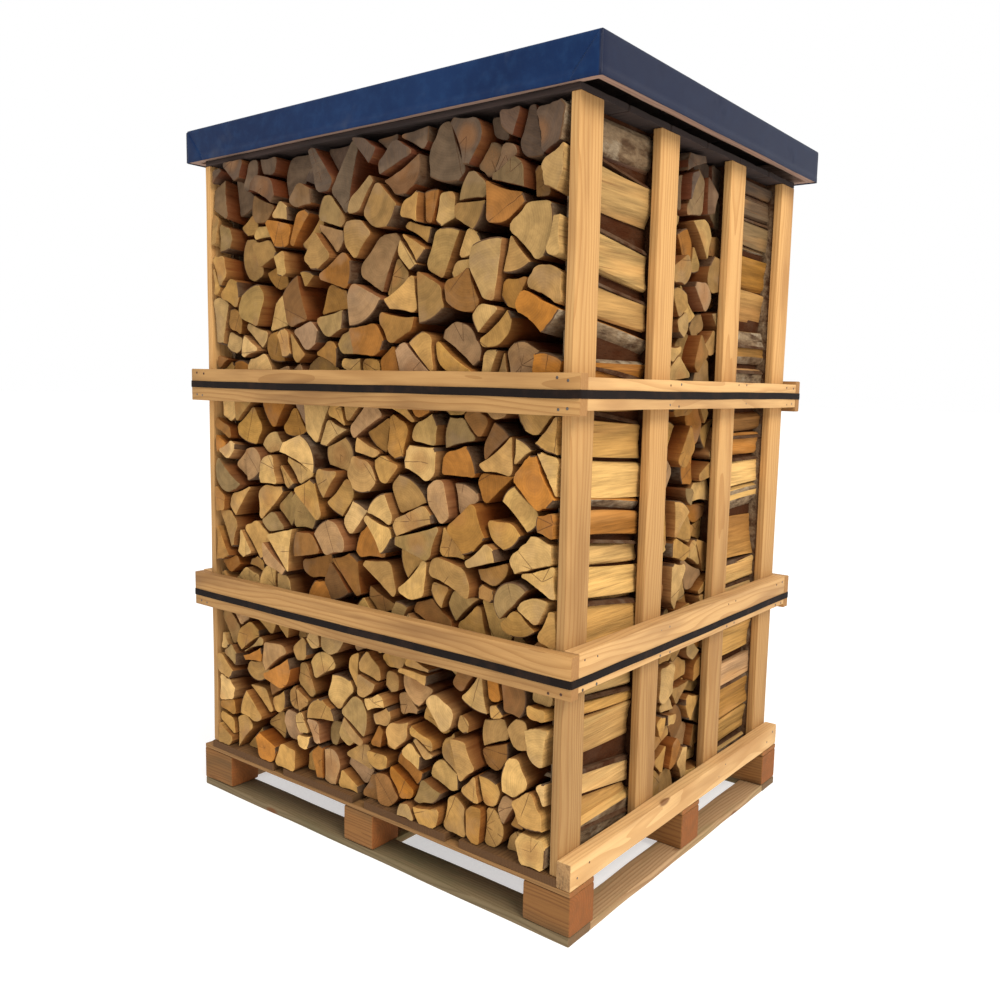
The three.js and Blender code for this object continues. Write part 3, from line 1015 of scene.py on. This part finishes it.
def log_row(solid, seed, tier, front):
    """The front or back row of a tier. Its logs run front to back, with cut ends seen outside."""
    shown = -1 if front else 1
    for rng, outline, pith in pack_row(seed, POST_IN - 0.0004, tier, True):
        rugged = max(abs(x) for x, _, _ in outline) > POST_IN - 0.035
        heights = [y for _, y, _ in outline]
        blocked = any(min(heights) < b and max(heights) > a for a, b in RAIL_ZONES)
        recess = (0.016 if rugged else 0.044) * rng.random() ** 1.35
        outer = ROW_FRONT + (0.0 if blocked else PROUD) - recess - 0.003
        inner = INNER + rng.uniform(0.0015, 0.02)
        ends = (-outer, -inner) if front else (inner, outer)
        tilt = (rng.gauss(0, 0.035), rng.gauss(0, 0.035))
        rise = SIDE_RISE if front and rugged else 0.0
        add_log(solid, rng, outline, pith, ends, ALONG_Y, shown, rugged, tilt, rise)
        if rugged and max(heights) < tier[1] - 0.02:
            ends = (-0.46, -inner) if front else (inner, 0.46)
            add_slivers(solid, rng, outline, ends, shown, rise)
    inside = random.Random(seed + 5)
    add_infill(solid, inside, *filled(tier), shown)
    near, far = INNER + 0.0003, INNER + 0.0013
    wall = (-far, -near) if front else (near, far)
    add_wall(solid, inside, POST_IN - 0.001, *filled(tier), wall, ALONG_Y)


def add_hidden_log(solid, rng, outline, pith):
    """The log in the middle of a line of three, fatter than the others so that no light passes."""
    points = np.array([(x, y) for x, y, _ in outline])
    low, high = points.min(axis=0), points.max(axis=0)
    wide = (points - points.mean(axis=0)) * 1.16 + points.mean(axis=0)
    wide[:, 0] = wide[:, 0].clip(0.001 - INNER, INNER - 0.001)
    wide[:, 1] = wide[:, 1].clip(low[1] - 0.004, high[1] + 0.004)
    prism(
        solid, wide, [LOG_SPLIT] * len(wide), (-0.17, 0.17), ALONG_X, straight, pick_tone(rng),
        rng.random(), pith, 1, False, False, hidden=np.ones(len(wide)), detail=0.05,
    )


LOG_LENGTH = 0.33


def middle_row(solid, seed, tier):
    """The middle row of a tier. Its logs run side to side, three in line, with ends seen at both
    sides."""
    reach = INNER - 0.001
    add_wall(solid, random.Random(seed), reach - 0.001, *filled(tier), (-0.003, 0.003), ALONG_X)
    for side in (-1, 1):
        for rng, outline, pith in pack_row(seed + side, reach, tier, False):
            between_posts = max(abs(x) for x, _, _ in outline) < INNER_POST_IN - 0.012
            proud = 0.0085 if between_posts else 0.0
            outer = POST_IN - 0.0015 + proud - 0.040 * rng.random() ** 1.35
            inner = outer - LOG_LENGTH
            ends = (inner, outer) if side > 0 else (-outer, -inner)
            tilt = (rng.gauss(0, 0.03), rng.gauss(0, 0.03))
            add_log(solid, rng, outline, pith, ends, ALONG_X, side, False, tilt)
            if side > 0:
                add_hidden_log(solid, rng, outline, pith)


# Each tier: low, high, cells in a front row, share of cells split, ragged top; and cells in a
# middle row.
TIERS = [
    ((0.1327, 0.5405, 76, 0.46, False), 25),
    ((0.5412, 1.0895, 76, 0.44, False), 26),
    ((1.0905, 1.6345, 74, 0.44, True), 25),
]
ROW_SEEDS = {"front": 11, "middle": 37, "back": 59}


def make_logs():
    for k, (tier, middle_count) in enumerate(TIERS, 1):
        for kind, row_seed in ROW_SEEDS.items():
            solid = Solid()
            seed = 100 * k + row_seed
            if kind == "middle":
                middle_row(solid, seed, (*tier[:2], middle_count, *tier[3:]))
            else:
                log_row(solid, seed, tier, kind == "front")
            node = f"logs_{kind}_{k}"
            hand_in(solid.make(f"{node}_split", LOG_MATS, mapped=True), [node])


# ---------------------------------------------------------------- sawn boards


def add_board(solid, rng, low, high, axis, radius=0.0018, wear=0.0012, slot=0):
    """One sawn board that fills the box from low to high, with its grain along axis. Its edges are
    worn by up to wear, and it bows a little."""
    direction = (ALONG_X, ALONG_Y, ALONG_Z)[axis]
    cross = direction[0][:2]
    centre = np.array([(high[i] + low[i]) / 2 for i in cross])
    a, b = [(high[i] - low[i]) / 2 for i in cross]
    corners = [(-a, -b, SPLIT), (a, -b, SPLIT), (a, b, SPLIT), (-a, b, SPLIT)]
    points = soften(rng, corners, radius, 0.02, 0.0)[0] + centre
    phases = [rng.uniform(0, 6.3) for _ in range(6)]
    reach = np.linalg.norm(points - centre, axis=1)
    corner = np.clip((reach / reach.max() - 0.55) / 0.45, 0, 1)
    bow = math.copysign(0.0003, math.sin(phases[3]))

    def section(flat, t):
        pull = 0.35 + 0.3 * math.sin(9 * t + phases[0]) + 0.35 * math.sin(23 * t + phases[1])
        nick = wear * max(0.0, pull) * corner
        out = centre + (flat - centre) * (1 - nick / reach)[:, None]
        out[:, 0] += bow * (math.sin(math.pi * t + phases[2] * 0.1) - 1)
        return out

    stations = max(2, int((high[axis] - low[axis]) / 0.05))
    prism(
        solid, points, [slot] * len(points), (low[axis], high[axis]), direction, section,
        (0.5, 0.5, 0.5), rng.random(), centre, stations, cap_slot=slot,
        bevel=min(0.0015, radius), band=0.004,
    )


def across(node):
    """Whether a rail or a base board lies at the front or the back, and so runs side to side."""
    return node.endswith(("front", "back"))


def board_set(name, nodes, axis, woods, slot, seed, **options):
    """Boards of one kind as one mesh, each in its own CAD box. Without an axis, the boards across
    run side to side in the second wood and the others run front to back in the first."""
    solid = Solid()
    for i, node in enumerate(nodes):
        wood = 0 if axis is not None else int(across(node))
        along = axis if axis is not None else 1 - wood
        add_board(solid, random.Random(seed + i), *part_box(node), along, slot=wood, **options)
    hand_in(solid.make(name, woods), nodes)


def nodes_named(start):
    return sorted(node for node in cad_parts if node.startswith(start))


SEAM_RAILS = ("tier1_top", "tier2_bottom", "tier2_top", "tier3_bottom")


def make_pallet():
    for i, node in enumerate(nodes_named("block_")):
        board_set(
            f"{node}_sawn", [node], 0, [BLOCK_WOOD], "pallet_wood", 100 + i, radius=0.003, wear=0.003
        )
    for name, axis, woods, seed in (
        # Base boards at the front and back take the darker copy: painted shadow.
        ("base_board", None, [BASE_WOOD, SHADED_BASE_WOOD], 200),
        ("stringer", 0, [STRINGER_WOOD], 300),
        ("deck_board", 1, [DECK_WOOD], 400),
    ):
        nodes = nodes_named(f"{name}_")
        board_set(f"{name}s_sawn", nodes, axis, woods, "pallet_wood", seed, wear=0.002)


def make_crate():
    for i, side in enumerate(("left", "right")):
        beam, posts = f"side_beam_{side}", nodes_named(f"post_{side}_")
        board_set(f"{beam}_sawn", [beam], 1, [BEAM_WOOD], "post_wood", 500 + i, radius=0.0025)
        board_set(f"posts_{side}_sawn", posts, 2, [POST_WOOD], "post_wood", 600 + 10 * i)
    for i, seam in enumerate(SEAM_RAILS):
        rails = nodes_named(f"rail_{seam}_")
        # The front and back rails take the darker copy: painted shade.
        woods = [RAIL_WOOD, SHADED_FRONT_RAIL_WOOD]
        board_set(f"rails_{seam}_sawn", rails, None, woods, "rail_wood", 700 + 10 * i)


LID_GAP = 0.002
DECK_BOARDS, TOP_BOARDS = 6, 7
RIM_THICK, LID_TOP_THICK = 0.022, 0.018


def add_lid_deck(solid, rng, low, high, count):
    """A layer of boards side by side that run from left to right."""
    wide = (high[1] - low[1]) / count
    for i in range(count):
        near = low[1] + i * wide
        box = (low[0], near + LID_GAP / 2, low[2]), (high[0], near + wide - LID_GAP / 2, high[2])
        add_board(solid, rng, *box, 0)


def make_lid():
    """Boards of the lid: a thin deck inside the posts, and a rim and top that carry the tarp."""
    low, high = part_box("lid_core")
    x, _, post_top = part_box("post_right_1")[1]
    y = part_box("post_right_4")[1][1]
    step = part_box("tarp_cover")[0][2] + 0.003
    top = high[2] - LID_TOP_THICK
    rng = random.Random(7)
    solid = Solid()
    add_lid_deck(solid, rng, (-x, -y, post_top + 0.0005), (x, y, step), DECK_BOARDS)
    for sign in (-1, 1):
        ya, yb = sorted((sign * high[1], sign * (high[1] - RIM_THICK)))
        add_board(solid, rng, (low[0], ya, step), (high[0], yb, top), 0, slot=1)
        xa, xb = sorted((sign * high[0], sign * (high[0] - RIM_THICK)))
        ends = (low[1] + RIM_THICK, high[1] - RIM_THICK)
        add_board(solid, rng, (xa, ends[0], step), (xb, ends[1], top), 1, slot=1)
    add_lid_deck(solid, rng, (low[0], low[1], top), high, TOP_BOARDS)
    hand_in(solid.make("lid_core_boards", [LID_SHADOW_WOOD, LID_RIM_SHADE_WOOD]), ["lid_core"])


# ---------------------------------------------------------------- straps, nails, tarp


def rounded_ring(half_x, half_y, radius, corner_steps, spacing):
    """Points round a rectangle with rounded corners, each (x, y, outward x, outward y)."""
    path = []
    for sx, sy, start in ((1, -1, -90), (1, 1, 0), (-1, 1, 90), (-1, -1, 180)):
        cx, cy = sx * (half_x - radius), sy * (half_y - radius)
        for k in range(corner_steps + 1):
            a = math.radians(start + 90 * k / corner_steps)
            nx, ny = math.cos(a), math.sin(a)
            path.append((cx + radius * nx, cy + radius * ny, nx, ny))
    full = []
    for p, q in zip(path, path[1:] + path[:1]):
        parts = max(1, int(math.dist(p[:2], q[:2]) / spacing))
        full += [tuple(p[j] + (q[j] - p[j]) * k / parts for j in range(4)) for k in range(parts)]
    return full


STRAP_THICK = 0.0012


def make_straps():
    """Two flat bands pulled tight round the rails, with rounded edges and a slight wander in
    height."""
    verts, faces = [], []
    nodes = ["strap_lower", "strap_upper"]
    for node in nodes:
        (_, _, low), (x, y, high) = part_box(node)
        ring = rounded_ring(x, y, 0.004, 4, 0.03)
        profile = (
            (STRAP_THICK, low + 0.0008), (0.0004, low + 0.0008), (0.0, low + 0.003),
            (0.0, high - 0.003), (0.0004, high - 0.0008), (STRAP_THICK, high - 0.0008),
        )
        first, sides = len(verts), len(profile)
        for i, (x, y, nx, ny) in enumerate(ring):
            wave = 0.0006 * math.sin(i * 0.21 + low) + 0.0003 * math.sin(i * 0.77)
            verts += [(x - nx * inset, y - ny * inset, z + wave) for inset, z in profile]
        for i, j in turned_round(len(ring)):
            a, b = first + i * sides, first + j * sides
            faces += [(a + k, b + k, b + m, a + m) for k, m in turned_round(sides)]
    hand_in(plain_mesh("strap_bands", verts, faces, STRAP, 40), nodes)


NAIL_RADIUS = 0.0031
NAIL_HEIGHT = 0.0006
NAIL_DEPTH = 0.002
NAIL_SIDES = 10


def add_nail(verts, faces, at, normal):
    """A low domed nail head on an upright surface."""
    at, n = np.array(at), np.array(normal, float)
    side = np.cross(n, (0, 0, 1))
    up = np.cross(n, side)
    first = len(verts)
    for scale, height in ((1.0, -NAIL_DEPTH), (1.0, 0.3 * NAIL_HEIGHT), (0.7, 0.85 * NAIL_HEIGHT)):
        for k in range(NAIL_SIDES):
            a = FULL_TURN * k / NAIL_SIDES
            spoke = NAIL_RADIUS * scale * (math.cos(a) * side + math.sin(a) * up)
            verts.append(tuple(at + spoke + n * height))
    verts += [tuple(at + n * NAIL_HEIGHT), tuple(at - n * NAIL_DEPTH)]
    wall, dome = first + NAIL_SIDES, first + 2 * NAIL_SIDES
    crown, foot = first + 3 * NAIL_SIDES, first + 3 * NAIL_SIDES + 1
    for k, j in turned_round(NAIL_SIDES):
        faces += [
            (first + k, first + j, wall + j, wall + k),
            (wall + k, wall + j, dome + j, dome + k),
            (dome + k, dome + j, crown),
            (first + j, first + k, foot),
        ]


# How far a nail's place lies below the face of the board.
NAIL_SUNK = 0.0006


def make_nails():
    """Two nails where each post crosses the beam or a rail, and two at each end of the rails at
    the front and back."""
    rng = random.Random(77)
    verts, faces = [], []
    for side, sign in (("left", -1), ("right", 1)):
        beam = f"side_beam_{side}"
        for k in range(1, 5):
            (_, post_low, _), (_, post_high, _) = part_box(f"post_{side}_{k}")
            for node in [beam] + [f"rail_{seam}_{side}" for seam in SEAM_RAILS]:
                low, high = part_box(node)
                x = (high[0] if sign > 0 else low[0]) - sign * NAIL_SUNK
                for j in range(2):
                    y = post_low + (0.25 + 0.5 * j) * (post_high - post_low) + rng.uniform(-0.005, 0.005)
                    share = 0.72 if "bottom" in node else 0.3
                    if node == beam:
                        share = 0.35 + 0.35 * j
                    z = low[2] + (high[2] - low[2]) * share + rng.uniform(-0.003, 0.003)
                    if low[1] < y - 0.01:
                        add_nail(verts, faces, (x, y, z), (sign, 0, 0))
    for end, sign in (("front", -1), ("back", 1)):
        for seam in SEAM_RAILS:
            low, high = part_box(f"rail_{seam}_{end}")
            y = (high[1] if sign > 0 else low[1]) - sign * NAIL_SUNK
            for middle in (-0.576, -0.553, 0.553, 0.578):
                share = 0.7 if "bottom" in seam else 0.3
                z = low[2] + (high[2] - low[2]) * share + rng.uniform(-0.003, 0.003)
                x = middle + rng.uniform(-0.004, 0.004)
                add_nail(verts, faces, (x, y, z), (0, sign, 0))
    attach(plain_mesh("nail_heads", verts, faces, NAIL), "root")


# Radius of the tarp's folded edge, the steps that round it, and the height of its hem.
FOLD, FOLD_STEPS, HEM = 0.004, 5, 0.013
# Heights of the rows of points on a flap, how far out each ring of points on the top lies, and the
# rows and columns of the spare cloth at a corner.
FLAP_ROWS = (0.0, 0.004, 0.0125, 0.0135, 0.022, 0.032, 0.044, 0.056, 0.068)
TOP_RINGS = (0.985, 0.965, 0.94, 0.91, 0.87, 0.82, 0.76, 0.69, 0.61, 0.52, 0.42, 0.31, 0.19, 0.08)
CORNER_ROWS, CORNER_COLUMNS = 7, 6


def add_spare_cloth(verts, faces, face, base, drop):
    """The spare cloth of each corner, folded flat on the front or back flap as a triangle."""
    wide_row = CORNER_COLUMNS + 1
    for sx in (-1, 1):
        for sy in (-1, 1):
            first = len(verts)
            for r in range(CORNER_ROWS + 1):
                h = 0.001 + (drop - FOLD - 0.002) * r / CORNER_ROWS
                wide = (drop - h) * 0.93 + 0.002
                for c in range(wide_row):
                    t = c / CORNER_COLUMNS
                    x = face[0] - 0.001 - wide * t
                    rise = 0.0012 + 0.0007 * math.sin(math.pi * t) + (0.0 if t < 1 else -0.0011)
                    verts.append((sx * x, sy * (face[1] + rise), base + h))
            for r in range(CORNER_ROWS):
                for c in range(CORNER_COLUMNS):
                    a = first + r * wide_row + c
                    quad = (a, a + 1, a + 1 + wide_row, a + wide_row)
                    faces.append(quad if sx * sy > 0 else quad[::-1])


def make_tarp():
    """One sheet pulled over the lid, with its flaps folded down and the spare cloth at each corner
    folded flat."""
    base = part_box("tarp_cover")[0][2] + 0.0006
    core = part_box("lid_core")[1]
    face = (core[0] + 0.0016, core[1] + 0.0016)
    top = core[2] + 0.0012
    drop = top - base
    rng = random.Random(5)
    waves = [
        (rng.uniform(4, 34), rng.uniform(0, 6.3), rng.uniform(0.3, 1.0), rng.uniform(-12, 12))
        for _ in range(8)
    ]

    def ripple(s, h):
        """Outward rise of a flap at length s round the lid and height h above its lower edge."""
        total = sum(w * math.sin(f * s + p + c * h) for f, p, w, c in waves) / 4
        return 0.0007 * max(0.0, total + 0.35) * (1.3 - h / drop)

    ring = rounded_ring(face[0], face[1], 0.004, 3, 0.014)
    n = len(ring)
    run = [0.0]
    for p, q in zip(ring, ring[1:]):
        run.append(run[-1] + math.dist(p[:2], q[:2]))
    verts, faces = [], []
    for h in (*FLAP_ROWS, drop - FOLD):
        for s, (x, y, nx, ny) in zip(run, ring):
            out = ripple(s, h) + (0.0006 if h < HEM else 0.0)
            lift = abs(0.0008 * math.sin(7 * s)) if h < 0.004 else 0.0
            verts.append((x + nx * out, y + ny * out, base + h + lift))
    for k in range(1, FOLD_STEPS):
        a = math.radians(90 * k / (FOLD_STEPS - 1))
        for s, (x, y, nx, ny) in zip(run, ring):
            out = ripple(s, drop) * (1 - k / FOLD_STEPS) - FOLD * (1 - math.cos(a))
            verts.append((x + nx * out, y + ny * out, top - FOLD * (1 - math.sin(a))))
    edge = 1 - FOLD / face[0]
    for level in TOP_RINGS:
        for x, y, _, _ in ring:
            px, py = x * level * edge, y * level * edge
            puff = 0.4 + 0.3 * math.sin(5 * px + 3 * py + 1) + 0.3 * math.sin(9 * py - 4 * px)
            crease = abs(math.sin(10.5 * (py + 0.02))) ** 6
            z = top + 0.0011 * max(0.0, puff) * min(1.0, (1 - level) * 12) - 0.0006 * crease
            verts.append((px, py, max(z, top - 0.0004)))
    last = len(verts) - n
    for row in range(0, last, n):
        faces += [(row + i, row + j, row + n + j, row + n + i) for i, j in turned_round(n)]
    faces += [(last + i, last + j, len(verts)) for i, j in turned_round(n)]
    verts.append((0, 0, top + 0.0006))
    add_spare_cloth(verts, faces, face, base, drop)
    made = plain_mesh("tarp_sheet", verts, faces, TARP, 50)
    thick = made.modifiers.new("cloth", "SOLIDIFY")
    thick.thickness = 0.0008
    thick.offset = 0.0
    hand_in(made, ["tarp_cover"])


# ---------------------------------------------------------------- floor, light and camera

FLOOR_REACH = 60.0
WHITE = (1.0, 1.0, 1.0, 1.0)
KEY_PLACE, KEY_AIM = (4.3, -2.0, 4.4), (0, 0, 0.8)
# The camera that shows the CAD's corners where the photo has them: its place, its turns in radians,
# and its focal length as a share of the sensor's width.
CAMERA_PLACE = (1.5566, -1.99732, 1.10461)
YAW, PITCH, ROLL = 2.232787, -0.121159, -0.020853
SENSOR, LENS = 36.0, 0.94616


def make_stage():
    r = FLOOR_REACH
    corners = [(-r, -r, 0), (r, -r, 0), (r, r, 0), (-r, r, 0)]
    plain_mesh("floor", corners, [(0, 1, 2, 3)], FLOOR)


def make_lights():
    """One soft warm light from the right, in an even white surround."""
    data = bpy.data.lights.new("key", "AREA")
    data.shape = "SQUARE"
    data.size = 2.2
    data.energy = 240
    data.color = (1.0, 0.94, 0.85)
    made = bpy.data.objects.new("key", data)
    made.location = KEY_PLACE
    direction = made.location - type(made.location)(KEY_AIM)
    made.rotation_euler = direction.to_track_quat("Z", "Y").to_euler()
    bpy.context.scene.collection.objects.link(made)
    world = bpy.data.worlds.new("studio")
    world.use_nodes = True
    sky = world.node_tree.nodes["Background"]
    sky.inputs["Color"].default_value = WHITE
    sky.inputs["Strength"].default_value = 1.0
    bpy.context.scene.world = world


def make_camera():
    heading = Matrix.Rotation(YAW - math.pi / 2, 4, "Z")
    tilt = Matrix.Rotation(PITCH + math.pi / 2, 4, "X")
    lean = Matrix.Rotation(-ROLL, 4, "Z")
    data = bpy.data.cameras.new("camera")
    data.sensor_width = SENSOR
    data.lens = SENSOR * LENS
    data.clip_start = 0.05
    made = bpy.data.objects.new("camera", data)
    made.matrix_world = Matrix.Translation(CAMERA_PLACE) @ heading @ tilt @ lean
    bpy.context.scene.collection.objects.link(made)
    bpy.context.scene.camera = made


make_logs()
make_pallet()
make_crate()
make_lid()
make_straps()
make_nails()
make_tarp()
make_stage()
make_lights()
make_camera()
bpy.context.scene.view_settings.view_transform = "Standard"

bpy.context.view_layer.update()
